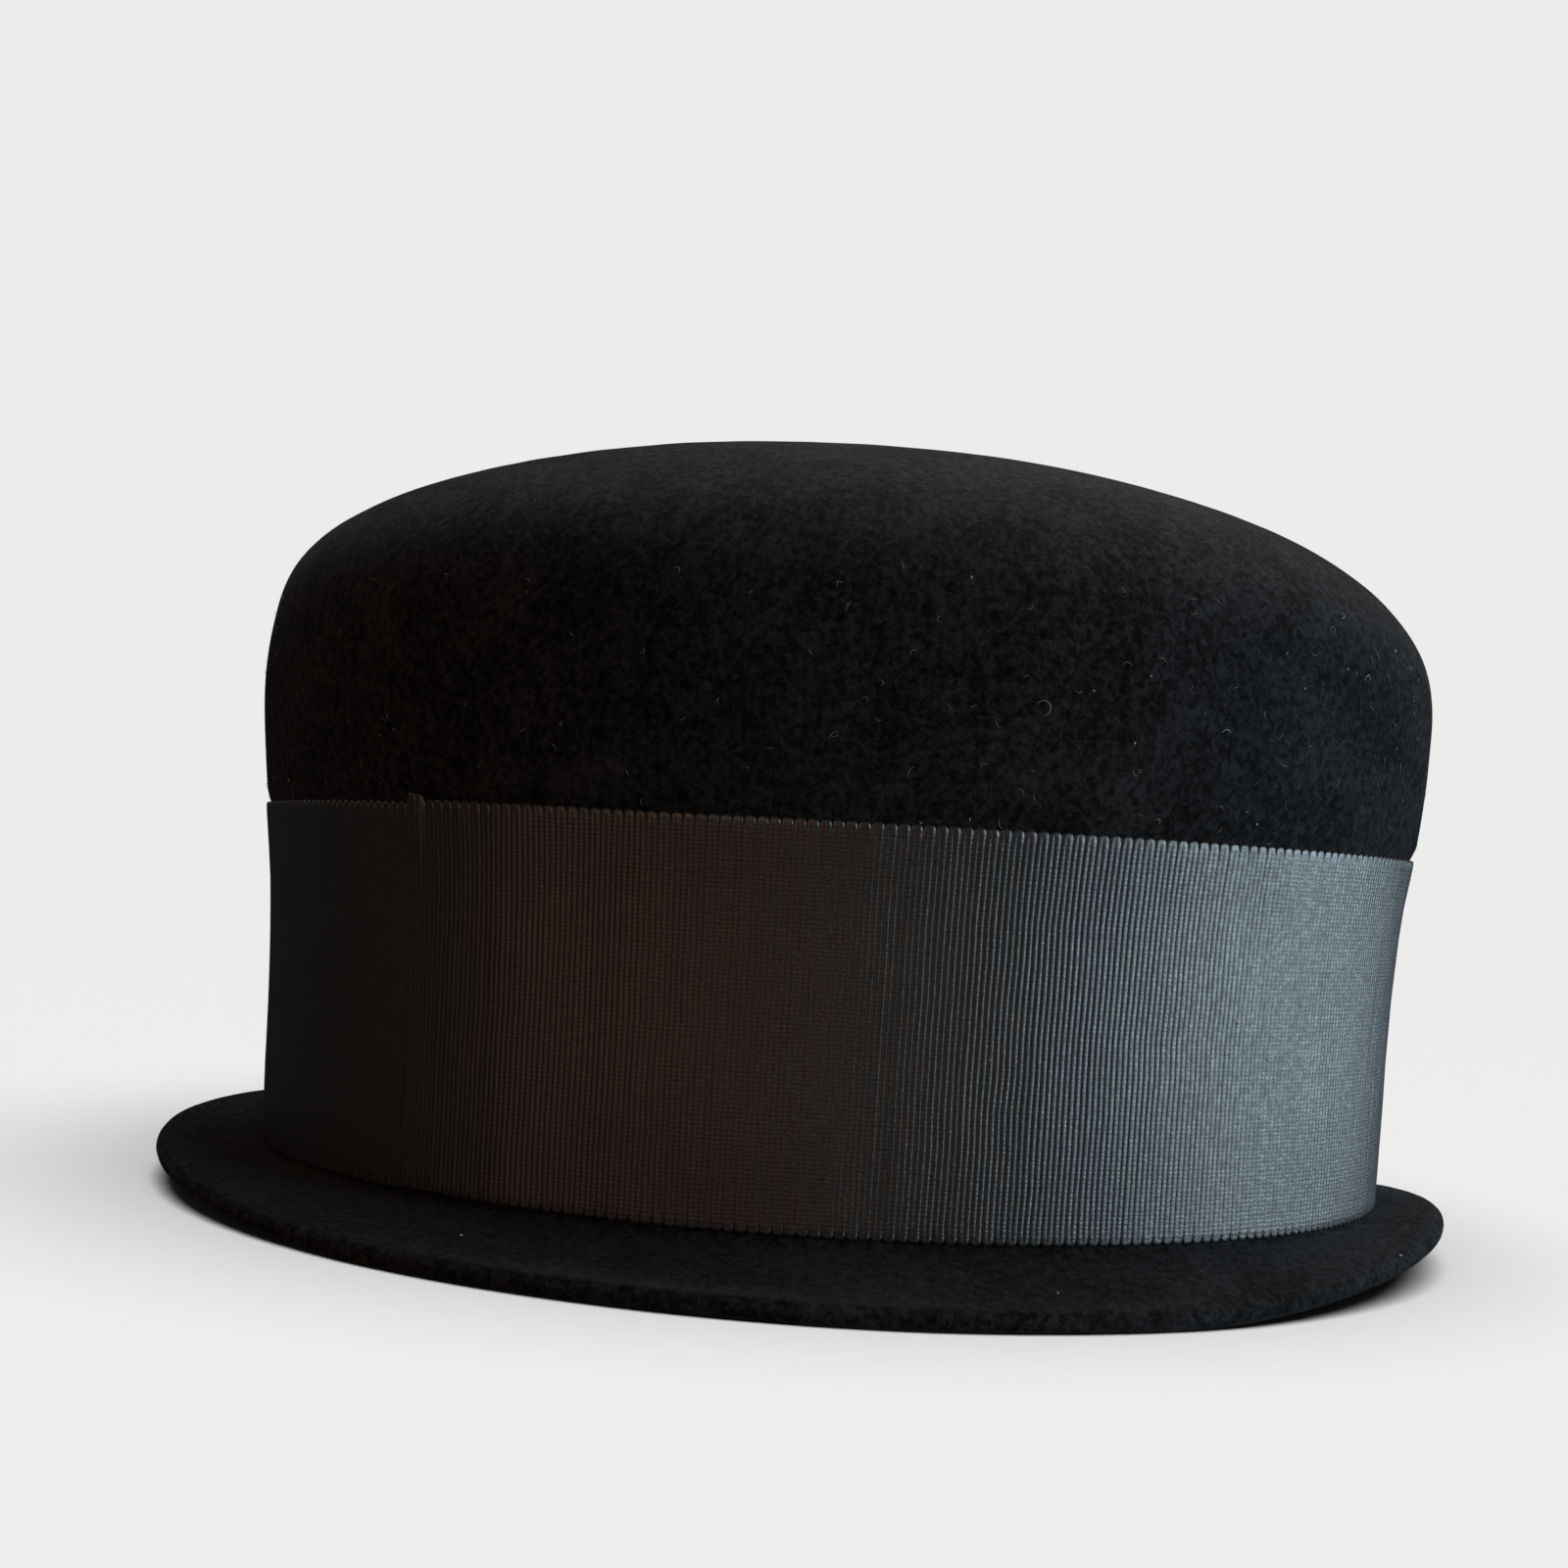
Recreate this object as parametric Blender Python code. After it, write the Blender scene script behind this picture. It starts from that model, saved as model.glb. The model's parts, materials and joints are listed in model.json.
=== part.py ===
"""A black felt church hat with a wide ribbed ribbon band.

The felt is one piece, crown and brim together, as it comes off a hat block.
The hat stands on its brim on the plane z = 0. The wearer faces -Y, and the
wearer's left is +X.
"""

from collections import namedtuple
from math import cos, hypot, pi, radians, sin

import bmesh
import bpy
from mathutils import Vector

# Felt body, in metres: the crown is measured outside, where it turns into the brim
CROWN_LENGTH = 0.2007
CROWN_WIDTH = 0.1667
CROWN_SETBACK = 0.0030
HAT_HEIGHT = 0.1358
BREAK_HEIGHT = 0.0070
BREAK_TILT = 0.0128
FELT_WALL = 0.0025
BREAK_FILLET = 0.0018
INNER_EDGE_ROUND = 0.0010

# Brim, in metres: how far it reaches out, and how far its ends would rise
BRIM_THICKNESS = 0.0032
BRIM_FRONT = 0.0190
BRIM_BACK = 0.0130
BRIM_SIDE = 0.0222
BRIM_DROOP = 0.0015
FRONT_RISE = 0.0070
BACK_RISE = 0.0074
FRONT_SWEEP = 1.7
BACK_SWEEP = 4.6

# Ribbon band, in metres
BAND_WIDTH = 0.0590
BAND_THICKNESS = 0.0008
BAND_ABOVE_BREAK = 0.0010
BAND_CLEARANCE = 0.0003
BAND_STANDOFF = 0.0006
LAP_LENGTH = 0.0160
LAP_RAMP = 0.0180
LAP_END_ANGLE = radians(-26.0)

# How finely the surfaces are divided
SEGMENTS = 64
STEPS_PER_ROW = 2
RIM_STEPS = 6
BAND_ROWS = 5

# Where the brim's sections lie, as shares of the way from the crown to the rim
BRIM_TOP_SHARES = (0.11, 0.3, 0.52, 0.74)
UNDERSIDE_SHARES = (0.86, 0.76, 0.58, 0.36, 0.12)

# Colours as linear RGB
FELT_COLOUR = (0.0035, 0.0033, 0.0034)
RIBBON_COLOUR = (0.0060, 0.0055, 0.0052)
FELT_ROUGHNESS = 0.95
RIBBON_ROUGHNESS = 0.55

HALF_LENGTH = CROWN_LENGTH / 2
HALF_WIDTH = CROWN_WIDTH / 2
CROWN_RISE = HAT_HEIGHT - BREAK_HEIGHT

# The crown's outside from the brim to the top. Rise is a share of CROWN_RISE, reach is a share of
# the crown's half length and half width, and forward moves a section as a share of FORWARD_BULGE.
Section = namedtuple("Section", "rise reach forward")
FORWARD_BULGE = 0.0030
CROWN_SECTIONS = (
    Section(rise=0.000, reach=1.000, forward=0.0),
    Section(rise=0.080, reach=1.005, forward=0.0),
    Section(rise=0.160, reach=1.009, forward=0.0),
    Section(rise=0.250, reach=1.014, forward=0.0),
    Section(rise=0.350, reach=1.025, forward=0.0),
    Section(rise=0.450, reach=1.045, forward=0.0),
    Section(rise=0.550, reach=1.064, forward=0.0),
    Section(rise=0.640, reach=1.075, forward=0.0),
    Section(rise=0.720, reach=1.067, forward=0.0),
    Section(rise=0.790, reach=1.031, forward=0.5),
    Section(rise=0.850, reach=0.955, forward=0.9),
    Section(rise=0.905, reach=0.822, forward=1.0),
    Section(rise=0.950, reach=0.645, forward=1.0),
    Section(rise=0.980, reach=0.440, forward=1.0),
    Section(rise=0.995, reach=0.215, forward=1.0),
    Section(rise=1.000, reach=0.000, forward=1.0),
)


def remove_old_objects():
    for old in list(bpy.data.objects):
        bpy.data.objects.remove(old, do_unlink=True)


def spline(before, start, end, after, share):
    """Value at a share of the way from start to end on a Catmull-Rom curve."""
    square = share * share
    cube = square * share
    return 0.5 * (
        2 * start
        + (end - before) * share
        + (2 * before - 5 * start + 4 * end - after) * square
        + (3 * start - before - 3 * end + after) * cube
    )


def crown_section(position):
    """The crown's section at a position counted in rows of CROWN_SECTIONS."""
    last = len(CROWN_SECTIONS) - 1
    row = min(int(position), last - 1)
    share = position - row
    before = CROWN_SECTIONS[max(row - 1, 0)]
    start = CROWN_SECTIONS[row]
    end = CROWN_SECTIONS[row + 1]
    after = CROWN_SECTIONS[min(row + 2, last)]
    values = []
    for name in Section._fields:
        columns = [getattr(section, name) for section in (before, start, end, after)]
        values.append(spline(*columns, share))
    return Section(*values)


def position_at_rise(rise):
    """Finds the position in CROWN_SECTIONS whose rise is the one asked for, by halving."""
    low = 0.0
    high = float(len(CROWN_SECTIONS) - 1)
    for _ in range(40):
        middle = (low + high) / 2
        if crown_section(middle).rise < rise:
            low = middle
        else:
            high = middle
    return (low + high) / 2


def outward_slope(position):
    """Outward and upward parts of the unit normal to the crown's profile."""
    nudge = 0.01
    last = len(CROWN_SECTIONS) - 1
    below = crown_section(max(position - nudge, 0.0))
    above = crown_section(min(position + nudge, last))
    along_reach = (above.reach - below.reach) * HALF_LENGTH
    along_rise = (above.rise - below.rise) * CROWN_RISE
    length = hypot(along_reach, along_rise)
    return along_rise / length, -along_reach / length


def crown_point(position, angle, offset):
    """A point on the crown, moved out from the felt's outside by offset, or in where it is below 0."""
    section = crown_section(position)
    out, up = outward_slope(position)
    half_length = max(section.reach * HALF_LENGTH + offset * out, 0.0)
    half_width = max(section.reach * HALF_WIDTH + offset * out, 0.0)
    y = half_length * sin(angle)
    height = BREAK_HEIGHT + section.rise * CROWN_RISE + offset * up
    tilt = BREAK_TILT * (1 - section.rise) * y
    centre = CROWN_SETBACK - FORWARD_BULGE * section.forward
    return Vector((half_width * cos(angle), y + centre, height + tilt))


def brim_underside(share, angle):
    """Height of the brim's underside. The felt lies flat on the ground where it would reach below it."""
    at_end = sin(angle)
    if at_end < 0:
        rise = FRONT_RISE * abs(at_end) ** FRONT_SWEEP
    else:
        rise = BACK_RISE * abs(at_end) ** BACK_SWEEP
    at_break = BREAK_HEIGHT - BRIM_THICKNESS + BREAK_TILT * HALF_LENGTH * at_end
    at_rim = rise - BRIM_DROOP
    return max(at_break + (at_rim - at_break) * share, 0.0)


def brim_point(share, angle, above_underside, inset):
    """A point of the brim, at a share of the way from the crown to the rim, less an inset."""
    overhang_end = BRIM_FRONT if sin(angle) < 0 else BRIM_BACK
    half_length = HALF_LENGTH + overhang_end * share - inset
    half_width = HALF_WIDTH + BRIM_SIDE * share - inset
    height = brim_underside(share, angle) + above_underside
    return Vector((half_width * cos(angle), half_length * sin(angle) + CROWN_SETBACK, height))


def ring(point_at):
    """One closed section of the felt, whose points point_at works out from their angle."""
    return [point_at(2 * pi * step / SEGMENTS) for step in range(SEGMENTS)]


def felt_rings():
    """Every section of the felt, from the outside of the crown's top over the rim to its inside."""
    last = len(CROWN_SECTIONS) - 1
    fillet_top = position_at_rise(BREAK_FILLET / CROWN_RISE)
    positions = [last - step / STEPS_PER_ROW for step in range(1, last * STEPS_PER_ROW)]
    positions = [position for position in positions if position > fillet_top] + [fillet_top]
    rings = []
    for position in positions:
        rings.append(ring(lambda angle: crown_point(position, angle, 0.0)))

    # The turn from crown to brim, then the brim's top
    turn = 0.3 * BREAK_FILLET
    rings.append(ring(lambda angle: brim_point(0.0, angle, BRIM_THICKNESS + turn, -turn)))
    for share in BRIM_TOP_SHARES:
        rings.append(ring(lambda angle: brim_point(share, angle, BRIM_THICKNESS, 0.0)))

    # The round rim, from its top over the outside to its underside
    radius = BRIM_THICKNESS / 2
    for step in range(RIM_STEPS + 1):
        turn = pi * step / RIM_STEPS
        height = radius + radius * cos(turn)
        inset = radius - radius * sin(turn)
        rings.append(ring(lambda angle: brim_point(1.0, angle, height, inset)))

    # The brim's underside, then the inside of the crown up to its top
    for share in UNDERSIDE_SHARES:
        rings.append(ring(lambda angle: brim_point(share, angle, 0.0, 0.0)))
    edge = INNER_EDGE_ROUND
    rings.append(ring(lambda angle: brim_point(0.0, angle, 0.3 * edge, edge)))
    for row in range(last):
        position = max(row, fillet_top / 2)
        rings.append(ring(lambda angle: crown_point(position, angle, -FELT_WALL)))
    return rings


def skin(bm, sections, closed):
    """Joins neighbouring sections of as many points with four-sided faces."""
    vertices = [[bm.verts.new(point) for point in section] for section in sections]
    for upper, lower in zip(vertices, vertices[1:]):
        count = len(upper)
        for index in range(count if closed else count - 1):
            following = (index + 1) % count
            bm.faces.new((upper[index], lower[index], lower[following], upper[following]))
    return vertices


def cap_with_fan(bm, loop, point):
    """Closes a ring of vertices with triangles to one point."""
    tip = bm.verts.new(point)
    for index, vertex in enumerate(loop):
        bm.faces.new((vertex, loop[(index + 1) % len(loop)], tip))


def make_material(name, colour, roughness):
    material = bpy.data.materials.new(name)
    material.use_nodes = True
    shader = material.node_tree.nodes["Principled BSDF"]
    shader.inputs["Base Color"].default_value = (*colour, 1.0)
    shader.inputs["Roughness"].default_value = roughness
    shader.inputs["Metallic"].default_value = 0.0
    material.diffuse_color = (*colour, 1.0)
    return material


def finish_object(bm, name, collection, material):
    """Turns a bmesh with no open edge into a smooth-shaded object of its own."""
    bmesh.ops.recalc_face_normals(bm, faces=bm.faces[:])
    mesh = bpy.data.meshes.new(name)
    bm.to_mesh(mesh)
    bm.free()
    mesh.shade_smooth()
    mesh.set_sharp_from_angle(angle=radians(50))
    piece = bpy.data.objects.new(name, mesh)
    piece.data.materials.append(material)
    collection.objects.link(piece)
    return piece


def make_felt_body(collection, material):
    """Crown and brim, one felt wall that is open below."""
    bm = bmesh.new()
    vertices = skin(bm, felt_rings(), closed=True)
    last = len(CROWN_SECTIONS) - 1
    cap_with_fan(bm, vertices[0], crown_point(last, 0.0, 0.0))
    cap_with_fan(bm, vertices[-1], crown_point(last, 0.0, -FELT_WALL))
    return finish_object(bm, "felt_body", collection, material)


def smooth_step(value):
    """Rises smoothly from 0 to 1 as value does."""
    value = min(max(value, 0.0), 1.0)
    return value * value * (3 - 2 * value)


def make_hatband(collection, material):
    """The ribbon: one strip round the crown, whose end laps over its start."""
    lap = LAP_LENGTH / HALF_WIDTH
    ramp = LAP_RAMP / HALF_WIDTH
    start_angle = LAP_END_ANGLE + lap
    sweep = 2 * pi + lap
    ramp_start = 2 * pi - ramp - BAND_CLEARANCE / HALF_WIDTH
    sections_across = SEGMENTS + 4
    sections = []
    for step in range(sections_across + 1):
        travelled = sweep * step / sections_across
        angle = start_angle - travelled
        lift = smooth_step((travelled - ramp_start) / ramp) * (BAND_THICKNESS + BAND_CLEARANCE)
        outline = []
        for side in (0, 1):
            for row in range(BAND_ROWS + 1):
                share = row / BAND_ROWS if side == 0 else 1 - row / BAND_ROWS
                rise = (BAND_ABOVE_BREAK + BAND_WIDTH * share) / CROWN_RISE
                standoff = BAND_CLEARANCE + BAND_STANDOFF * (1 - share) ** 2
                offset = standoff + lift + BAND_THICKNESS * side
                outline.append(crown_point(position_at_rise(rise), angle, offset))
        sections.append(outline)
    bm = bmesh.new()
    vertices = skin(bm, sections, closed=True)
    for end in (vertices[0], vertices[-1]):
        for row in range(BAND_ROWS):
            bm.faces.new((end[row], end[row + 1], end[-2 - row], end[-1 - row]))
    return finish_object(bm, "hatband", collection, material)


def build_hat():
    remove_old_objects()
    collection = bpy.data.collections.new("church_hat")
    bpy.context.scene.collection.children.link(collection)
    felt = make_material("black_felt", FELT_COLOUR, FELT_ROUGHNESS)
    ribbon = make_material("black_ribbon", RIBBON_COLOUR, RIBBON_ROUGHNESS)
    make_felt_body(collection, felt)
    make_hatband(collection, ribbon)


build_hat()
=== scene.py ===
"""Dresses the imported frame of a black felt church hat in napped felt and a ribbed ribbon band."""

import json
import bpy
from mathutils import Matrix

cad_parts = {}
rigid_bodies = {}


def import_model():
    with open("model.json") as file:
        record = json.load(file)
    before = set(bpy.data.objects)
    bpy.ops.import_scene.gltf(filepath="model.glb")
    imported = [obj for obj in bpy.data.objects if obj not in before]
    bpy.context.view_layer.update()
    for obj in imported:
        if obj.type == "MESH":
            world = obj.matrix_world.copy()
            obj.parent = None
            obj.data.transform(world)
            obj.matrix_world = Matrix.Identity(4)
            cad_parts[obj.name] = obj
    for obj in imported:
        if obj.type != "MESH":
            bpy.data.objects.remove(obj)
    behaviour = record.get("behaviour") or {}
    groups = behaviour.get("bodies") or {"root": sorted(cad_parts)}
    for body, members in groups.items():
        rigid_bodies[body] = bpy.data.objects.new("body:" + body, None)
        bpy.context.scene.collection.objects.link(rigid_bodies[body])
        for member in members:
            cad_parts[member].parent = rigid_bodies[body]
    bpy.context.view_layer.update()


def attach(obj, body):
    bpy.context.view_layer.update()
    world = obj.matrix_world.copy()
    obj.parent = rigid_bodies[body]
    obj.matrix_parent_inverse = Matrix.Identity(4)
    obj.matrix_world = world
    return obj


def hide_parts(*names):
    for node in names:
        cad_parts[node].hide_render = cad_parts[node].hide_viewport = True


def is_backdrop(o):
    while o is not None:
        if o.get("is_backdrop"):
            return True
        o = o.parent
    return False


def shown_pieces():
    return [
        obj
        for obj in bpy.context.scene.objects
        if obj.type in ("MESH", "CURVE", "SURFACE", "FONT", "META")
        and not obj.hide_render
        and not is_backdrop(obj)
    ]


bl_info = {
    "name": "Felt church hat",
    "version": (1, 0, 0),
    "blender": (4, 5, 0),
    "location": "3D View > Sidebar > Hat",
    "description": "Blocks, naps and trims a black felt hat round its packed frame",
    "category": "Add Mesh",
}

from collections import namedtuple
from math import cos, pi, radians, sin

import bmesh
import bpy
import numpy as np
from bpy.props import FloatProperty, IntProperty, PointerProperty, StringProperty
from mathutils import Matrix, Vector, noise
from mathutils.bvhtree import BVHTree

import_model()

MILLIMETRE = 0.001
FELT_NODE = "felt_body"
BAND_NODE = "hatband"
BODY = "root"

# Where the band lies, as in the CAD model: it leans forward with the brim's break, its upper edge less
BAND_WIDTH = 0.059
BAND_FOOT = 0.0080
BAND_TILT = 0.0128
BAND_TILT_LOSS = 0.45
CROWN_CENTRE_Y = 0.003
CROWN_HALF_LENGTH = 0.1003
CROWN_HALF_WIDTH = 0.0834


# Small helpers


def linear_channel(value):
    """One sRGB channel, from 0 to 1, as linear light."""
    if value <= 0.04045:
        return value / 12.92
    return ((value + 0.055) / 1.055) ** 2.4


def linear(hex_colour):
    """An sRGB hex colour such as #1A1815 as linear RGBA."""
    digits = hex_colour.lstrip("#")
    channels = [int(digits[start:start + 2], 16) / 255 for start in (0, 2, 4)]
    return (*[linear_channel(channel) for channel in channels], 1.0)


def add_node(tree, kind, settings=None, inputs=None, links=None):
    """Adds one node: settings are its own values, inputs its sockets', links its sockets' sources."""
    node = tree.nodes.new(kind)
    for name, value in (settings or {}).items():
        setattr(node, name, value)
    for name, value in (inputs or {}).items():
        node.inputs[name].default_value = value
    for name, source in (links or {}).items():
        tree.links.new(source, node.inputs[name])
    return node


def mixed_colour(tree, first, second, share):
    """The colour between two, by the share that another node gives."""
    node = add_node(tree, "ShaderNodeMix", settings={"data_type": "RGBA"}, links={"Factor": share})
    # Mix has a socket of each name for every data type, so the colours are set by place
    node.inputs[6].default_value = first
    node.inputs[7].default_value = second
    return node.outputs[2]


def new_material(name):
    """An empty node material and its output's surface socket."""
    material = bpy.data.materials.new(name)
    material.use_nodes = True
    material.node_tree.nodes.clear()
    output = material.node_tree.nodes.new("ShaderNodeOutputMaterial")
    return material, output.inputs["Surface"]


def deselect_all():
    for item in bpy.context.view_layer.objects:
        item.select_set(False)


def make_active(piece):
    deselect_all()
    piece.select_set(True)
    bpy.context.view_layer.objects.active = piece


def apply_modifier(piece, kind, **settings):
    """Adds a modifier to a piece with the settings given, and applies it."""
    make_active(piece)
    modifier = piece.modifiers.new(kind.title(), kind)
    for name, value in settings.items():
        setattr(modifier, name, value)
    bpy.ops.object.modifier_apply(modifier=modifier.name)


def dress(piece, material, node):
    """Gives a finished piece its material and body, and hides the CAD node it stands for."""
    piece.data.materials.clear()
    piece.data.materials.append(material)
    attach(piece, BODY)
    if node:
        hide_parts(node)


def vertex_array(mesh):
    values = np.empty(len(mesh.vertices) * 3)
    mesh.vertices.foreach_get("co", values)
    return values.reshape(-1, 3)


def normal_array(mesh):
    values = np.empty(len(mesh.vertices) * 3)
    mesh.vertices.foreach_get("normal", values)
    return values.reshape(-1, 3)


def set_vertices(mesh, points):
    mesh.vertices.foreach_set("co", points.ravel())
    mesh.update()


def smooth_step(value):
    value = min(max(value, 0.0), 1.0)
    return value * value * (3 - 2 * value)


def band_height(share, y):
    """Height of a point of the band at a share of its width."""
    return BAND_FOOT + share * BAND_WIDTH + BAND_TILT * (1 - share * BAND_TILT_LOSS) * y


def band_share(height, y):
    """The share of the band's width at a height, the other way round."""
    return (height - BAND_FOOT - BAND_TILT * y) / (BAND_WIDTH - BAND_TILT * BAND_TILT_LOSS * y)


def outward(x, y):
    """The direction out of the crown's oval at a place, longer than 1 outside the oval."""
    return Vector((x / CROWN_HALF_WIDTH, (y - CROWN_CENTRE_Y) / CROWN_HALF_LENGTH, 0.0))


# What a user would change


class HatFeltSettings(bpy.types.PropertyGroup):
    """The felt's look."""

    colour: StringProperty(name="Felt", description="Dyed felt colour, sRGB hex", default="#0E0E0E")
    # Painted sheen: the nap's pale colour stands for light caught by the nap, painted into the felt's colour
    nap_sheen_colour: StringProperty(
        name="Nap tips", description="Colour of the nap's tips, sRGB hex", default="#38383A"
    )
    unevenness: FloatProperty(
        name="Unevenness",
        description="How far the blocked felt wanders from a true surface",
        default=0.00022,
        unit="LENGTH",
    )
    clump: FloatProperty(
        name="Nap clumps", description="Width of the nap's brushed clumps", default=0.0013, unit="LENGTH"
    )
    squeeze: FloatProperty(
        name="Squeeze",
        description="How far the band's upper edge presses into the felt",
        default=0.0005,
        unit="LENGTH",
    )
    swell: FloatProperty(
        name="Swell", description="How far the felt rolls out above the band", default=0.00055, unit="LENGTH"
    )
    subdivisions: IntProperty(name="Subdivisions", description="Smoothing steps of the felt", default=2)


class HatRibbonSettings(bpy.types.PropertyGroup):
    """The ribbon's look."""

    colour: StringProperty(name="Ribbon", description="Dyed ribbon colour, sRGB hex", default="#1B1918")
    worn_colour: StringProperty(
        name="Worn ribbon", description="Ribbon colour where it is duller, sRGB hex", default="#161413"
    )
    rib_pitch: FloatProperty(
        name="Rib pitch", description="Distance from rib to rib", default=0.000885, unit="LENGTH"
    )
    rib_height: FloatProperty(
        name="Rib height",
        description="How far a rib stands above its grooves",
        default=0.00012,
        unit="LENGTH",
    )
    scallop: FloatProperty(
        name="Scallop",
        description="How high each woven scallop at the edges is",
        default=0.00085,
        unit="LENGTH",
    )
    waver: FloatProperty(
        name="Waver", description="How far the ribs wander sideways", default=0.00035, unit="LENGTH"
    )
    flare: FloatProperty(
        name="Flare", description="How far the lower edge stands off the felt", default=0.0004, unit="LENGTH"
    )
    thickness: FloatProperty(
        name="Thickness", description="Ribbon thickness under the ribs", default=0.00045, unit="LENGTH"
    )


class HatLintSettings(bpy.types.PropertyGroup):
    """The pale lint on the hat."""

    count: IntProperty(name="Lint", description="Bits of lint on the sides not seen in the photo", default=14)
    colour: StringProperty(name="Lint colour", description="Colour of the lint, sRGB hex", default="#BDBAB8")
    thickness: FloatProperty(
        name="Fibre thickness",
        description="Half the thickness of a lint fibre",
        default=0.00006,
        unit="LENGTH",
    )
    wisps: IntProperty(name="Wisps", description="Very fine stray fibres caught in the nap", default=260)


class HatStageSettings(bpy.types.PropertyGroup):
    """Camera, floor and light."""

    camera_distance: FloatProperty(
        name="Camera distance", description="From the hat's middle to the lens", default=0.3619, unit="LENGTH"
    )
    camera_height: FloatProperty(
        name="Camera height", description="Lens height above the floor", default=0.0590, unit="LENGTH"
    )
    camera_turn: FloatProperty(
        name="Camera turn",
        description="How far the camera stands behind square to the hat's left side",
        default=radians(14.14),
        subtype="ANGLE",
    )
    focal_length: FloatProperty(
        name="Focal length", description="Lens on a 36 mm wide sensor, in millimetres", default=44.06
    )
    floor_colour: StringProperty(name="Floor", description="Floor colour, sRGB hex", default="#F1F1F0")


# Materials


def felt_material(settings):
    """Velour-finished felt: a dense matt black, mottled at random by its short brushed nap, the pale mottle
    being painted sheen, and pale at a grazing view.
    """
    material, surface = new_material("velour_felt")
    tree = material.node_tree
    place = add_node(tree, "ShaderNodeTexCoord").outputs["Object"]
    clumps = add_node(
        tree,
        "ShaderNodeTexNoise",
        inputs={"Scale": 1 / settings.clump, "Detail": 5.0, "Roughness": 0.72, "Distortion": 0.5},
        links={"Vector": place},
    ).outputs["Fac"]
    strokes = add_node(
        tree,
        "ShaderNodeTexNoise",
        inputs={"Scale": 1 / (14 * MILLIMETRE), "Detail": 2.0, "Distortion": 1.2},
        links={"Vector": place},
    ).outputs["Fac"]
    shade = add_node(
        tree,
        "ShaderNodeMath",
        settings={"operation": "MULTIPLY_ADD"},
        inputs={1: 0.25},
        links={0: strokes, 2: clumps},
    ).outputs[0]
    shade = add_node(
        tree,
        "ShaderNodeMapRange",
        settings={"interpolation_type": "SMOOTHSTEP"},
        inputs={"From Min": 0.46, "From Max": 0.86},
        links={"Value": shade},
    ).outputs["Result"]
    # Painted sheen: the black is mixed at random towards the pale nap colour, standing for light caught by
    # the nap
    colour = mixed_colour(tree, linear(settings.colour), linear(settings.nap_sheen_colour), shade)
    bump = add_node(
        tree,
        "ShaderNodeBump",
        inputs={"Strength": 0.7, "Distance": 0.35 * MILLIMETRE},
        links={"Height": clumps},
    ).outputs["Normal"]
    shader = add_node(
        tree,
        "ShaderNodeBsdfPrincipled",
        inputs={
            "Roughness": 0.92,
            "IOR": 1.53,
            "Specular IOR Level": 0.05,
            "Sheen Weight": 0.06,
            "Sheen Roughness": 0.42,
            "Sheen Tint": linear("#D9DCE2"),
        },
        links={"Base Color": colour, "Normal": bump},
    )
    tree.links.new(shader.outputs["BSDF"], surface)
    return material


def ribbon_material(settings):
    """Ribbed ribbon: filament thread wound round stout ribs, so it has a soft, slightly silky gleam."""
    material, surface = new_material("ribbed_ribbon")
    tree = material.node_tree
    woven = add_node(tree, "ShaderNodeUVMap", settings={"uv_map": "weave"}).outputs["UV"]
    threads = add_node(
        tree,
        "ShaderNodeTexWave",
        settings={"bands_direction": "Y", "wave_profile": "SIN"},
        inputs={"Scale": 1 / (2.1 * MILLIMETRE), "Distortion": 6.0, "Detail": 3.0, "Detail Scale": 3.0},
        links={"Vector": woven},
    ).outputs["Fac"]
    place = add_node(tree, "ShaderNodeTexCoord").outputs["Object"]
    slubs = add_node(
        tree,
        "ShaderNodeTexNoise",
        inputs={"Scale": 1 / (1.1 * MILLIMETRE), "Detail": 4.0, "Roughness": 0.65},
        links={"Vector": place},
    ).outputs["Fac"]
    wear = add_node(
        tree,
        "ShaderNodeTexNoise",
        inputs={"Scale": 1 / (9 * MILLIMETRE), "Detail": 3.0},
        links={"Vector": place},
    ).outputs["Fac"]
    colour = mixed_colour(tree, linear(settings.colour), linear(settings.worn_colour), wear)
    gleam = add_node(
        tree,
        "ShaderNodeMapRange",
        inputs={"From Min": 0.3, "From Max": 0.7, "To Min": 0.36, "To Max": 0.54},
        links={"Value": slubs},
    ).outputs["Result"]
    relief = add_node(
        tree,
        "ShaderNodeMath",
        settings={"operation": "MULTIPLY_ADD"},
        inputs={1: 2.2},
        links={0: slubs, 2: threads},
    ).outputs[0]
    bump = add_node(
        tree,
        "ShaderNodeBump",
        inputs={"Strength": 0.4, "Distance": 0.04 * MILLIMETRE},
        links={"Height": relief},
    ).outputs["Normal"]
    shader = add_node(
        tree,
        "ShaderNodeBsdfPrincipled",
        inputs={"IOR": 1.53, "Specular IOR Level": 1.0},
        links={"Base Color": colour, "Roughness": gleam, "Normal": bump},
    )
    tree.links.new(shader.outputs["BSDF"], surface)
    return material


def plain_material(name, hex_colour, roughness, specular):
    """A matt material with a faint mottle, for lint and for the floor."""
    material, surface = new_material(name)
    tree = material.node_tree
    place = add_node(tree, "ShaderNodeTexCoord").outputs["Object"]
    mottle = add_node(
        tree,
        "ShaderNodeTexNoise",
        inputs={"Scale": 1 / (4 * MILLIMETRE), "Detail": 1.0},
        links={"Vector": place},
    ).outputs["Fac"]
    full = linear(hex_colour)
    dimmed = (*[channel * 0.97 for channel in full[:3]], 1.0)
    colour = mixed_colour(tree, full, dimmed, mottle)
    shader = add_node(
        tree,
        "ShaderNodeBsdfPrincipled",
        inputs={"Roughness": roughness, "Specular IOR Level": specular},
        links={"Base Color": colour},
    )
    tree.links.new(shader.outputs["BSDF"], surface)
    return material


# The felt

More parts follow.
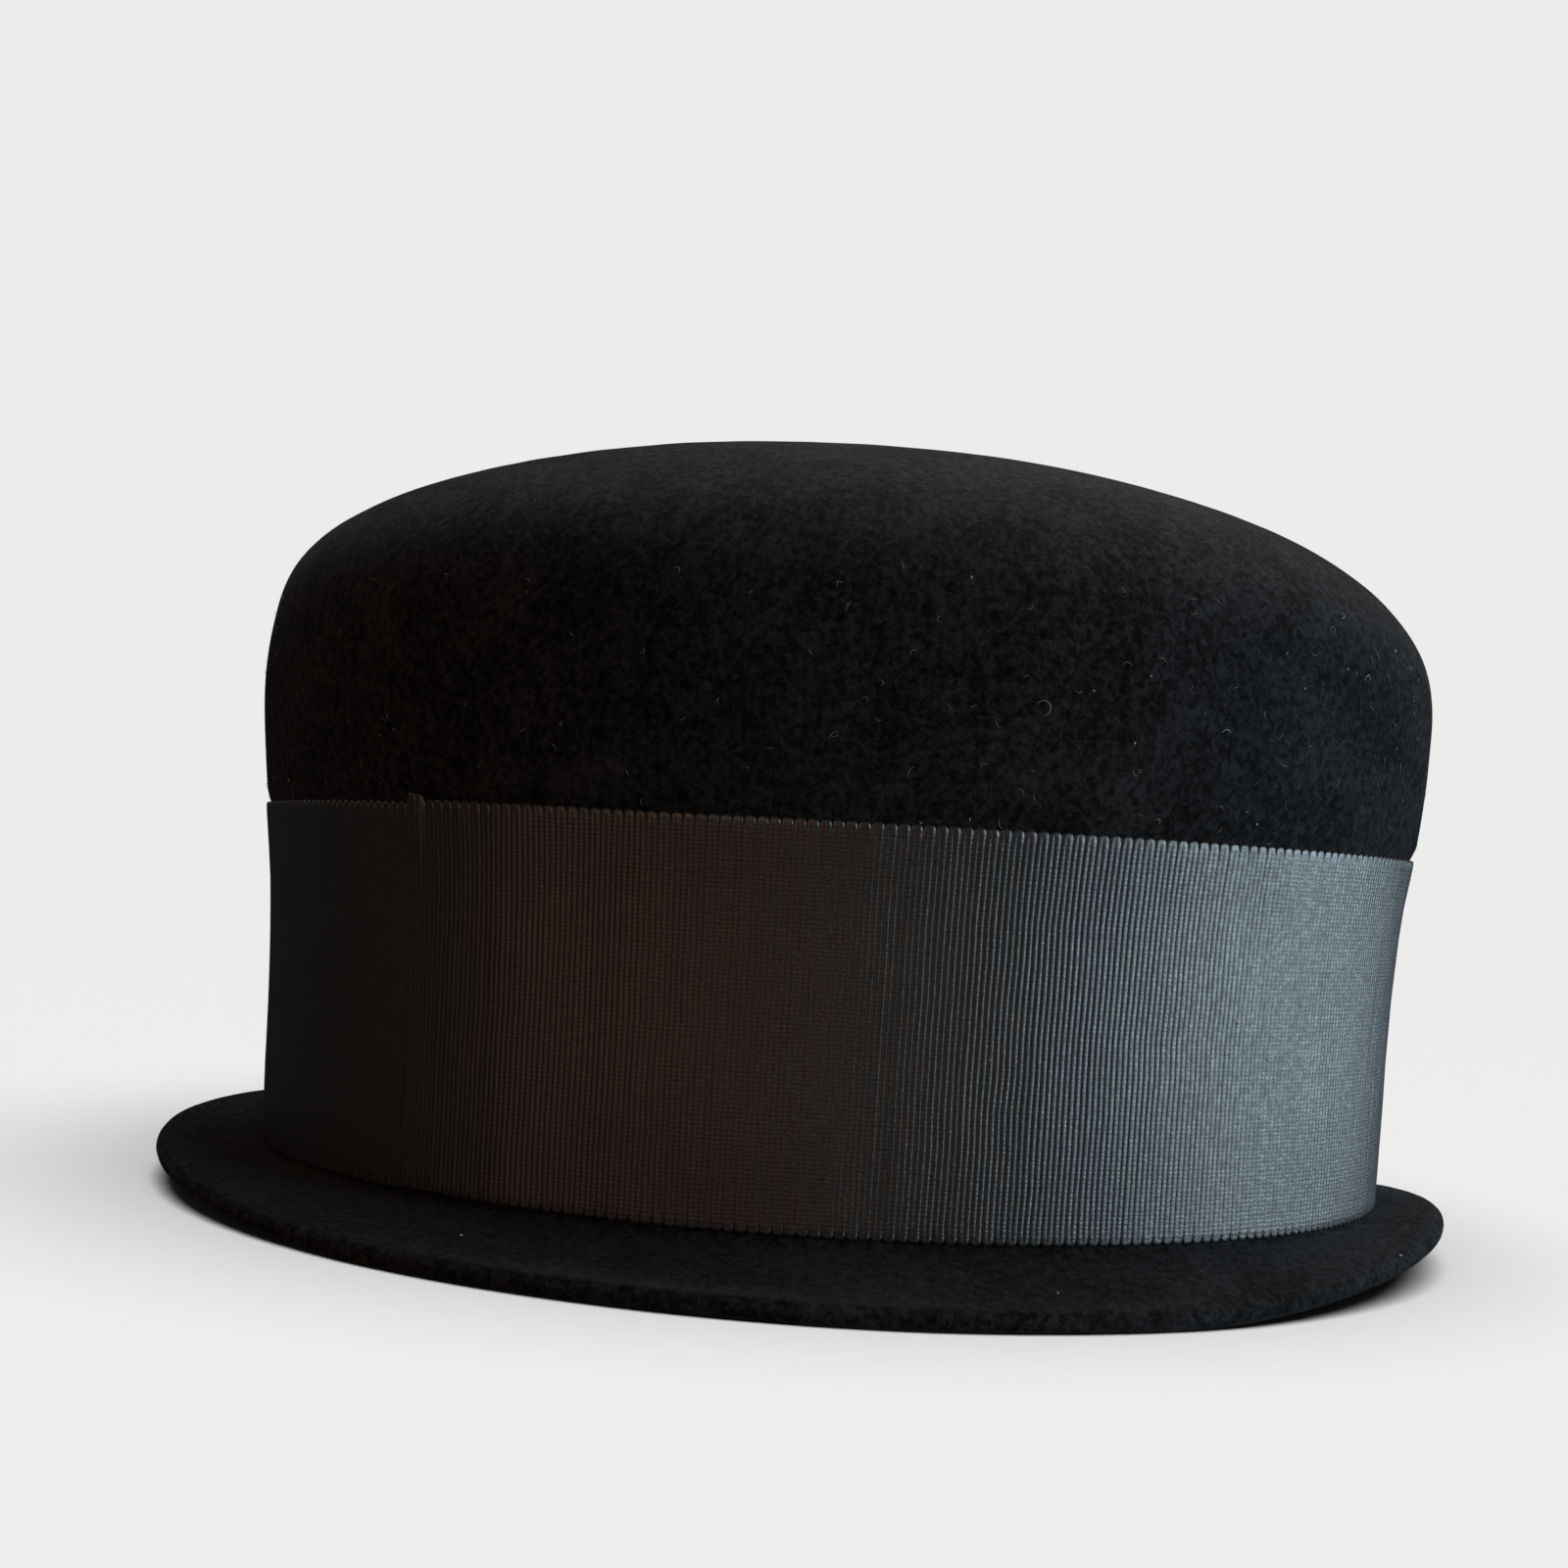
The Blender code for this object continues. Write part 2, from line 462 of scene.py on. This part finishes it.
# Shares of the band's width, and over how much of it each change is spread
PRESS_FROM = 0.6
PRESS_SPREAD = 0.35
SWELL_FROM = 1.004
SWELL_SPREAD = 0.028
SWELL_END = 1.06
SWELL_END_SPREAD = 0.3
# Parts of the swell that are the same all round and that grow towards the back
SWELL_EVEN = 0.35
SWELL_BACK = 0.65
# The felt's slow and quick wander, in metres, and how much the quick one counts
BROAD_WANDER = 0.035
FINE_WANDER = 0.007
FINE_SHARE = 0.35


def copy_of_node(node, name):
    """A copy of a CAD node's mesh as a piece of its own, its triangles paired into quads."""
    source = next(item for item in bpy.data.objects if item.name == node)
    piece = bpy.data.objects.new(name, source.data.copy())
    bpy.context.scene.collection.objects.link(piece)
    make_active(piece)
    bpy.ops.object.mode_set(mode="EDIT")
    bpy.ops.mesh.select_all(action="SELECT")
    bpy.ops.mesh.remove_doubles(threshold=0.00002)
    bpy.ops.mesh.tris_convert_to_quads(face_threshold=radians(60), shape_threshold=radians(70))
    bpy.ops.mesh.select_all(action="DESELECT")
    bpy.ops.object.mode_set(mode="OBJECT")
    return piece


def squeeze(share, backward, settings):
    """How far the felt's outside moves where the tight band presses it in and it swells above the band."""
    above = smooth_step((share - SWELL_FROM) / SWELL_SPREAD)
    pressed = -settings.squeeze * smooth_step((share - PRESS_FROM) / PRESS_SPREAD) * (1 - above)
    swell = settings.swell * (SWELL_EVEN + SWELL_BACK * max(backward, 0.0))
    return pressed + swell * above * (1 - smooth_step((share - SWELL_END) / SWELL_END_SPREAD))


def felt_relief(mesh, settings):
    """Moves the felt's surface a little, as steam and a hand brush leave it."""
    points = vertex_array(mesh)
    normals = normal_array(mesh)
    broad = 1 / BROAD_WANDER
    fine = 1 / FINE_WANDER
    apart = Vector((7.0, 3.0, 1.0))
    moved = points.copy()
    for index, (point, normal) in enumerate(zip(points, normals)):
        place = Vector(point)
        wander = noise.noise(place * broad) + FINE_SHARE * noise.noise(place * fine + apart)
        shift = wander * settings.unevenness
        out = outward(place.x, place.y)
        # Only the crown's outside is squeezed, and its inside stays
        if out.length > 0.5 and Vector(normal).dot(out.normalized()) > 0.3:
            shift += squeeze(band_share(place.z, place.y), out.normalized().y, settings)
        moved[index] = point + normal * shift
    moved[:, 2] = np.maximum(moved[:, 2], 0.0)
    set_vertices(mesh, moved)


class HAT_OT_felt(bpy.types.Operator):
    """Copy the blocked felt from the frame, smooth it and give it a nap"""

    bl_idname = "hat.felt"
    bl_label = "Felt crown and brim"

    def execute(self, context):
        settings = context.scene.hat_felt
        felt = copy_of_node(FELT_NODE, "felt_shell")
        levels = settings.subdivisions
        apply_modifier(felt, "SUBSURF", levels=levels, render_levels=levels)
        felt_relief(felt.data, settings)
        make_active(felt)
        bpy.ops.object.shade_smooth()
        dress(felt, felt_material(settings), FELT_NODE)
        return {"FINISHED"}


# The ribbon

# Where the lap ends, how long it is, how long the ribbon takes to climb on it, and its end's slight rise
LAP_END_ANGLE = radians(-26.0)
LAP_LENGTH = 0.016
LAP_RAMP = 0.018
LAP_RISE = 0.0005
LAP_RISE_LENGTH = 0.050
# The small folded nub at the lap's upper corner, and the shares of the width over which it grows
FOLD_LENGTH = 0.0030
FOLD_HEIGHT = 0.0011
FOLD_THICKNESS = 0.0003
FOLD_FROM = 0.7
FOLD_SPREAD = 0.25
NUB_FROM = 0.94
NUB_SPREAD = 0.06
COLUMNS_PER_RIB = 4
RIBS_PER_SCALLOP = 2
CLEARANCE = 0.0002
# How near an edge two ribs run together, and how the edge itself is rounded in, in metres
LOOP_REACH = 0.0013
LOOP_HEIGHT = 0.8
EDGE_ROUND = 0.0001
EDGE_ROUND_REACH = 0.0005
# How much the ribs differ in height
RIB_LEAST = 0.85
RIB_SPREAD = 0.3
# Shares of the width between which the wall is followed; the stiff edges run straight on
FOOT_SHARE = 0.025
HELD_SHARE = 0.95
SLOPE_SHARE = 0.06
# Rows close to each edge, in metres from it, for the scallops; even rows lie between them
EDGE_ROWS = (0.0, 0.0003, 0.0009, 0.0022)
MIDDLE_ROWS = 9

Waver = namedtuple("Waver", "along across layer weight")
# The ribs' sideways wander: turns of noise a metre along and a width across, its layer and its weight
WAVERS = (
    Waver(along=70, across=7, layer=4.0, weight=0.6),
    Waver(along=210, across=13, layer=2.0, weight=0.3),
)


def row_heights():
    """Distances of the band's rows from its lower edge."""
    low, high = EDGE_ROWS[-1], BAND_WIDTH - EDGE_ROWS[-1]
    middle = list(np.linspace(low, high, MIDDLE_ROWS + 2))[1:-1]
    return [*EDGE_ROWS, *middle, *[BAND_WIDTH - inset for inset in reversed(EDGE_ROWS)]]


class WallFinder:
    """Finds points on the felt's outside by looking inwards at it from an oval outside."""

    def __init__(self, felt):
        mesh = bmesh.new()
        mesh.from_mesh(felt.data)
        off_wall = [face for face in mesh.faces if not self.on_wall(face)]
        bmesh.ops.delete(mesh, geom=off_wall, context="FACES")
        self.tree = BVHTree.FromBMesh(mesh)
        mesh.free()

    def on_wall(self, face):
        """Whether a face belongs to the crown's outside and not to the brim or the inside."""
        middle = face.calc_center_median()
        out = outward(middle.x, middle.y)
        return out.length < 1.12 and face.normal.dot(out.normalized()) > 0.45

    def point(self, angle, height):
        """The wall's point and outward normal at an angle round the oval and a height."""
        direction = Vector((CROWN_HALF_WIDTH * cos(angle), CROWN_HALF_LENGTH * sin(angle), 0.0))
        centre = Vector((0.0, CROWN_CENTRE_Y, height))
        hit, normal, _, _ = self.tree.ray_cast(centre + direction * 1.6, -direction.normalized())
        if hit is None:
            raise RuntimeError("The band found no felt to lie on")
        return hit, normal


def angle_table(finder, height, steps=1440):
    """Angles against the distance travelled round the wall, for ribs of even pitch."""
    angles = np.linspace(0.0, 2 * pi, steps + 1)
    points = np.array([finder.point(angle, height)[0] for angle in angles])
    lengths = np.concatenate([[0.0], np.cumsum(np.linalg.norm(np.diff(points, axis=0), axis=1))])
    return angles, lengths


class HAT_OT_ribbon(bpy.types.Operator):
    """Weave a ribbed ribbon and wrap it round the crown, its end lapped over its start"""

    bl_idname = "hat.ribbon"
    bl_label = "Ribbed hatband"

    def execute(self, context):
        settings = context.scene.hat_ribbon
        finder = WallFinder(bpy.data.objects["felt_shell"])
        middle = BAND_FOOT + BAND_WIDTH / 2
        angles, lengths = angle_table(finder, middle)
        girth = lengths[-1]
        flat_length = girth + LAP_LENGTH
        scallops = round(flat_length / (settings.rib_pitch * RIBS_PER_SCALLOP))
        columns = scallops * RIBS_PER_SCALLOP * COLUMNS_PER_RIB
        rows = row_heights()

        deselect_all()
        bpy.ops.mesh.primitive_grid_add(
            x_subdivisions=columns, y_subdivisions=len(rows) - 1, size=1.0, location=(0.0, 0.0, 0.0)
        )
        band = bpy.context.active_object
        band.name = "ribbon_band"
        band.data.name = "ribbon_band"
        flat = vertex_array(band.data)
        along = flat[:, 0] + 0.5
        across = np.interp(flat[:, 1] + 0.5, np.linspace(0, 1, len(rows)), np.array(rows) / BAND_WIDTH)
        moved = wrap_band(finder, settings, along, across, columns, angles, lengths, flat_length)
        set_vertices(band.data, moved)
        add_weave_map(band.data, along, across, flat_length)
        apply_modifier(band, "SOLIDIFY", thickness=settings.thickness, offset=-1.0, use_even_offset=False)
        make_active(band)
        bpy.ops.object.shade_smooth()
        dress(band, ribbon_material(settings), BAND_NODE)
        return {"FINISHED"}


def wall_place(finder, angle, share, level, y):
    """The place on the wall under a point of the band, whose stiff edges run straight on."""
    if FOOT_SHARE <= share <= HELD_SHARE:
        return finder.point(angle, level)
    edge = FOOT_SHARE if share < FOOT_SHARE else HELD_SHARE
    inner = edge + SLOPE_SHARE if share < FOOT_SHARE else edge - SLOPE_SHARE
    edge_level = band_height(edge, y)
    inner_level = band_height(inner, y)
    held, normal = finder.point(angle, edge_level)
    before, _ = finder.point(angle, inner_level)
    return held + (held - before) * (level - edge_level) / (edge_level - inner_level), normal


def rib_profile(phase):
    """Height of a rib, from 0 in the groove to 1 on its round crest, at a phase from 0 to 1."""
    return abs(sin(pi * phase)) ** 0.6


def lobe(phase):
    """A round lobe from 0 over 1 to 0, at a phase from 0 to 1."""
    return max(1 - (2 * phase - 1) ** 2, 0.0) ** 0.5


def wrap_band(finder, settings, along, across, columns, angles, lengths, flat_length):
    """Places every point of the flat band on the crown."""
    girth = lengths[-1]
    start = np.interp(LAP_END_ANGLE % (2 * pi), angles, lengths) + LAP_LENGTH
    order = np.round(along * columns).astype(int)
    moved = np.empty((len(along), 3))
    layer = settings.thickness + settings.rib_height + 2 * CLEARANCE
    for index in range(len(along)):
        column = int(order[index])
        travelled = flat_length * column / columns
        angle = np.interp((start - travelled) % girth, lengths, angles)
        share = across[index]
        inset = min(share, 1 - share) * BAND_WIDTH
        near_edge = 1 - smooth_step(inset / LOOP_REACH)
        rib = column / COLUMNS_PER_RIB
        rounded = lobe((rib / RIBS_PER_SCALLOP) % 1.0)
        # Towards an edge, two ribs run together into the loop that makes a scallop
        uneven = RIB_LEAST + RIB_SPREAD * noise.noise(Vector((round(rib - 0.5) * 0.77, share * 5, 9.0)))
        height = rib_profile(rib % 1.0) * uneven * (1 - near_edge) + LOOP_HEIGHT * rounded * near_edge
        wave = sum(
            noise.noise(Vector((travelled * waver.along, share * waver.across, waver.layer))) * waver.weight
            for waver in WAVERS
        )
        turned = angle + wave * settings.waver / CROWN_HALF_LENGTH
        y = CROWN_CENTRE_Y + CROWN_HALF_LENGTH * sin(turned)
        level = band_height(share, y)
        level += (1 if share > 0.5 else -1) * near_edge * settings.scallop * (rounded - 0.5)
        stand = CLEARANCE + settings.thickness + settings.rib_height * height
        stand += smooth_step((travelled - girth + LAP_RAMP) / LAP_RAMP) * layer
        stand += settings.flare * (1 - share) ** 2
        to_end = flat_length - travelled
        level += LAP_RISE * smooth_step(1 - to_end / LAP_RISE_LENGTH)
        fold = lobe(min(to_end / FOLD_LENGTH, 1.0))
        stand += FOLD_THICKNESS * fold * smooth_step((share - FOLD_FROM) / FOLD_SPREAD)
        level += FOLD_HEIGHT * fold * smooth_step((share - NUB_FROM) / NUB_SPREAD)
        stand -= EDGE_ROUND * (1 - smooth_step(inset / EDGE_ROUND_REACH))
        point, normal = wall_place(finder, turned, share, level, y)
        moved[index] = point + normal * stand
    return moved


def add_weave_map(mesh, along, across, flat_length):
    """A map in metres, along and across the flat ribbon, for the weave to follow."""
    layer = mesh.uv_layers.new(name="weave")
    loops = np.empty(len(mesh.loops), dtype=np.int64)
    mesh.loops.foreach_get("vertex_index", loops)
    pairs = np.stack([along[loops] * flat_length, across[loops] * BAND_WIDTH], -1)
    layer.data.foreach_set("uv", pairs.ravel())


# The lint

SEED = 7
# How far out on the brim, as a multiple of the crown's oval, its lint lies
BRIM_PLACE = 1.14
# Below this height, in mm, lint lies on the ribbon
BAND_TOP = 66
# Sizes on the lint curve, as multiples of the fibre thickness
FIBRE_RADIUS = 0.9
FLECK_RADIUS = 2.6
WISP_FINENESS = 0.42
LINT_STAND = 0.00015
# Ranges that the seeded lint is drawn from: angles in degrees, heights and lengths in mm, curl in turns
UNSEEN_ANGLES = (80, 330)
UNSEEN_HEIGHTS = (70, 105)
WISP_HEIGHTS = (68, 104)
WISP_LENGTHS = (0.8, 2.0)
WISP_CURLS = (0.05, 0.5)
# Angle round the crown in degrees, height in mm (0 for the brim), length in mm and curl in turns of each bit
LINT = (
    (28, 84, 4.4, 0.50),
    (37, 91, 0.4, 0.0),
    (32, 88, 0.3, 0.0),
    (36, 81, 0.4, 0.0),
    (22, 103, 0.4, 0.0),
    (51, 97, 0.6, 0.1),
    (53, 92, 0.4, 0.0),
    (59, 96, 0.4, 0.0),
    (63, 95, 2.4, 0.35),
    (70, 101, 0.4, 0.0),
    (60, 104, 1.6, 0.30),
    (45, 84, 1.8, 0.25),
    (49, 71, 0.4, 0.0),
    (39, 70, 1.2, 0.45),
    (19, 68, 0.6, 0.1),
    (23, 69, 0.6, 0.2),
    (-49, 70, 0.4, 0.0),
    (26, 35, 0.6, 0.1),
    (50, 41, 1.7, 0.30),
    (54, 36, 1.0, 0.05),
    (48, 24, 0.5, 0.0),
    (-14, 0, 0.5, 0.0),
    (30, 0, 0.5, 0.0),
    (66, 0, 0.6, 0.0),
)


def tangents(normal):
    """Two directions along a surface: the first level, the second uphill."""
    level = Vector((0.0, 0.0, 1.0)).cross(normal)
    if level.length < 0.05:
        level = Vector((1.0, 0.0, 0.0))
    level.normalize()
    return level, normal.cross(level)


def brim_point(felt, angle):
    """The brim's point and normal below a place just outside the crown."""
    x = BRIM_PLACE * CROWN_HALF_WIDTH * cos(angle)
    y = CROWN_CENTRE_Y + BRIM_PLACE * CROWN_HALF_LENGTH * sin(angle)
    hit, place, normal, _ = felt.ray_cast((x, y, BAND_FOOT * 3), (0.0, 0.0, -1.0))
    if not hit:
        raise RuntimeError("The lint found no brim to lie on")
    return place, normal


class HAT_OT_lint(bpy.types.Operator):
    """Drop the few pale bits of lint that the hat has picked up"""

    bl_idname = "hat.lint"
    bl_label = "Lint"

    def execute(self, context):
        settings = context.scene.hat_lint
        felt = bpy.data.objects["felt_shell"]
        finder = WallFinder(felt)
        band = WallFinder(bpy.data.objects["ribbon_band"])
        rng = np.random.default_rng(SEED)
        marks = [(*mark, 1.0) for mark in LINT]
        for _ in range(settings.count):
            curl = rng.uniform(0.0, 0.6) if rng.random() < 0.3 else 0.0
            length = 1.5 if curl else 0.35
            angle = rng.uniform(*UNSEEN_ANGLES)
            marks.append((angle, rng.uniform(*UNSEEN_HEIGHTS), length, curl, 1.0))
        for _ in range(settings.wisps):
            curl = rng.uniform(*WISP_CURLS)
            angle = rng.uniform(0, 360)
            height = rng.uniform(*WISP_HEIGHTS)
            marks.append((angle, height, rng.uniform(*WISP_LENGTHS), curl, WISP_FINENESS))
        deselect_all()
        bpy.ops.curve.primitive_nurbs_path_add(location=(0.0, 0.0, 0.0))
        lint = bpy.context.active_object
        lint.name = "lint"
        lint.data.splines.clear()
        lint.data.bevel_depth = settings.thickness
        lint.data.bevel_resolution = 1
        lint.data.use_fill_caps = True
        for angle, height, length, curl, fineness in marks:
            if height == 0:
                place, normal = brim_point(felt, radians(angle))
            else:
                on = band if height < BAND_TOP else finder
                place, normal = on.point(radians(angle), height * MILLIMETRE)
            self.add_bit(lint.data, place, normal, length * MILLIMETRE, curl, fineness, rng)
        make_active(lint)
        bpy.ops.object.convert(target="MESH")
        # Caught lint: matt and pale, so it shows against the black felt
        pale = plain_material("pale_lint", settings.colour, 0.9, 0.2)
        dress(bpy.context.active_object, pale, None)
        return {"FINISHED"}

    def add_bit(self, curve, place, normal, length, curl, fineness, rng):
        """One bit of lint: a fleck if it has no curl, else a thin curled fibre."""
        level, uphill = tangents(normal)
        heading = rng.uniform(0, 2 * pi)
        steps = 9 if curl else 3
        spline = curve.splines.new("POLY")
        spline.points.add(steps - 1)
        point = place + normal * LINT_STAND
        for step in range(steps):
            share = step / (steps - 1)
            spline.points[step].co = (*point, 1.0)
            swell = sin(pi * (0.15 + 0.7 * share))
            spline.points[step].radius = (FIBRE_RADIUS if curl else FLECK_RADIUS) * swell * fineness
            turn = heading + 2 * pi * curl * share * 1.3
            stride = level * cos(turn) + uphill * sin(turn) + normal * 0.25 * sin(2 * pi * share)
            point = point + stride * length / (steps - 1)


# The stage

FLOOR_SIZE = 60.0
# The camera's aim: turned off the hat's middle, tipped up, and rolled as the photograph is
CAMERA_YAW = radians(0.952)
CAMERA_PITCH = radians(2.75)
CAMERA_ROLL = radians(3.48)
CAMERA_MIDDLE_Y = 0.00094
# Linear colours of the surroundings, as the hat and floor and as the camera get them
DIM_ROOM = (0.032, 0.031, 0.030, 1.0)
PALE_BACKDROP = (0.838, 0.838, 0.832, 1.0)
SKY_POWER = 3.1
SKY_SPREAD = radians(70)
SKY_TILT = (radians(-10), radians(6), 0.0)

def add_area_light(hat_light):
    """One soft rectangular light, from its row in the table."""
    data = bpy.data.lights.new(hat_light.name, "AREA")
    data.shape = "RECTANGLE"
    data.size, data.size_y = hat_light.size
    data.energy = hat_light.power
    data.color = hat_light.colour
    light = bpy.data.objects.new(hat_light.name, data)
    light.location = hat_light.place
    towards = Vector(hat_light.aim) - Vector(hat_light.place)
    light.rotation_euler = towards.to_track_quat("-Z", "Y").to_euler()
    bpy.context.scene.collection.objects.link(light)
    return light


HatLight = namedtuple("HatLight", "name place aim size power colour")
# A cool window beyond the hat's back, warm light from the room, and soft light from above and in front
HAT_LIGHTS = (
    HatLight("window", (0.02, 1.15, 0.08), (0.0, 0.0, 0.05), (1.25, 0.55), 16.0, (0.68, 0.87, 1.0)),
    HatLight("warm_room", (1.12, -0.22, 0.24), (0.0, 0.0, 0.05), (0.5, 0.6), 1.35, (1.0, 0.56, 0.33)),
    HatLight("top", (-0.30, 0.06, 1.15), (0.0, 0.0, 0.1), (0.7, 0.7), 9.0, (1.0, 0.98, 0.95)),
    HatLight("front", (-0.25, -1.15, 0.55), (0.0, 0.0, 0.05), (0.8, 0.5), 0.4, (1.0, 0.97, 0.93)),
)


class HAT_OT_stage(bpy.types.Operator):
    """Lay a pale floor, hang soft lights and set up the camera"""

    bl_idname = "hat.stage"
    bl_label = "Floor, light and camera"

    def execute(self, context):
        settings = context.scene.hat_stage
        deselect_all()
        bpy.ops.mesh.primitive_plane_add(size=FLOOR_SIZE, location=(0.0, 0.0, 0.0))
        floor = bpy.context.active_object
        floor.name = "floor"
        floor.data.materials.append(plain_material("pale_floor", settings.floor_colour, 0.9, 0.1))
        floor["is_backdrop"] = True
        floor.visible_diffuse = False
        floor.visible_glossy = False
        self.add_camera(context, settings)
        self.add_lights(context, floor)
        return {"FINISHED"}

    def add_camera(self, context, settings):
        """The camera looks at the hat's left side, from a little behind, nearly level."""
        pitch = CAMERA_PITCH
        roll = CAMERA_ROLL
        middle = Vector((0.0, CAMERA_MIDDLE_Y, 0.0))
        turn = settings.camera_turn
        place = middle + Vector((cos(turn), sin(turn), 0.0)) * settings.camera_distance
        place.z = settings.camera_height
        heading = turn + pi + CAMERA_YAW
        forward = Vector((cos(heading) * cos(pitch), sin(heading) * cos(pitch), sin(pitch)))
        right = forward.cross(Vector((0.0, 0.0, 1.0))).normalized()
        up = right.cross(forward)
        rolled_right = right * cos(roll) + up * sin(roll)
        rolled_up = up * cos(roll) - right * sin(roll)
        data = bpy.data.cameras.new("camera")
        data.sensor_width = 36.0
        data.lens = settings.focal_length
        data.clip_start = 0.01
        camera = bpy.data.objects.new("camera", data)
        turned = Matrix((rolled_right, rolled_up, -forward)).transposed()
        camera.matrix_world = Matrix.Translation(place) @ turned.to_4x4()
        context.scene.collection.objects.link(camera)
        context.scene.camera = camera

    def add_lights(self, context, floor):
        """The hat's own soft lights, and an overhead light for the floor alone, which stays pale."""
        on_floor = bpy.data.collections.new("lit_floor")
        on_floor.objects.link(floor)
        on_hat = bpy.data.collections.new("lit_hat")
        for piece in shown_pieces():
            if piece != floor:
                on_hat.objects.link(piece)
        sky = bpy.data.lights.new("overhead", "SUN")
        sky.energy = SKY_POWER
        sky.angle = SKY_SPREAD
        overhead = bpy.data.objects.new("overhead", sky)
        overhead.rotation_euler = SKY_TILT
        context.scene.collection.objects.link(overhead)
        overhead.light_linking.receiver_collection = on_floor
        for hat_light in HAT_LIGHTS:
            light = add_area_light(hat_light)
            light.light_linking.receiver_collection = on_hat
        world = bpy.data.worlds.new("studio")
        world.use_nodes = True
        tree = world.node_tree
        tree.nodes.clear()
        seen = add_node(tree, "ShaderNodeLightPath").outputs["Is Camera Ray"]
        dim = add_node(tree, "ShaderNodeBackground", inputs={"Color": DIM_ROOM})
        pale = add_node(tree, "ShaderNodeBackground", inputs={"Color": PALE_BACKDROP})
        mix = add_node(
            tree,
            "ShaderNodeMixShader",
            links={0: seen, 1: dim.outputs["Background"], 2: pale.outputs["Background"]},
        )
        output = add_node(tree, "ShaderNodeOutputWorld", links={"Surface": mix.outputs["Shader"]})
        output.is_active_output = True
        context.scene.world = world
        context.scene.view_settings.view_transform = "Standard"


GROUPS = (("Felt", "hat_felt"), ("Ribbon", "hat_ribbon"), ("Lint", "hat_lint"), ("Stage", "hat_stage"))


class HAT_PT_panel(bpy.types.Panel):
    """Lists the steps that dress the hat."""

    bl_idname = "HAT_PT_panel"
    bl_label = "Felt church hat"
    bl_space_type = "VIEW_3D"
    bl_region_type = "UI"
    bl_category = "Hat"

    def draw(self, context):
        scene = context.scene
        for title, name in GROUPS:
            box = self.layout.box()
            box.label(text=title)
            group = getattr(scene, name)
            for field in group.__annotations__:
                box.prop(group, field)
        for operator in (HAT_OT_felt, HAT_OT_ribbon, HAT_OT_lint, HAT_OT_stage):
            self.layout.operator(operator.bl_idname)


CLASSES = (
    HatFeltSettings,
    HatRibbonSettings,
    HatLintSettings,
    HatStageSettings,
    HAT_OT_felt,
    HAT_OT_ribbon,
    HAT_OT_lint,
    HAT_OT_stage,
    HAT_PT_panel,
)


def register():
    for item in CLASSES:
        bpy.utils.register_class(item)
    bpy.types.Scene.hat_felt = PointerProperty(type=HatFeltSettings)
    bpy.types.Scene.hat_ribbon = PointerProperty(type=HatRibbonSettings)
    bpy.types.Scene.hat_lint = PointerProperty(type=HatLintSettings)
    bpy.types.Scene.hat_stage = PointerProperty(type=HatStageSettings)


def unregister():
    for _, name in GROUPS:
        delattr(bpy.types.Scene, name)
    for item in reversed(CLASSES):
        bpy.utils.unregister_class(item)


def main():
    register()
    bpy.ops.hat.felt()
    bpy.ops.hat.ribbon()
    bpy.ops.hat.lint()
    bpy.ops.hat.stage()


if __name__ == "__main__":
    main()
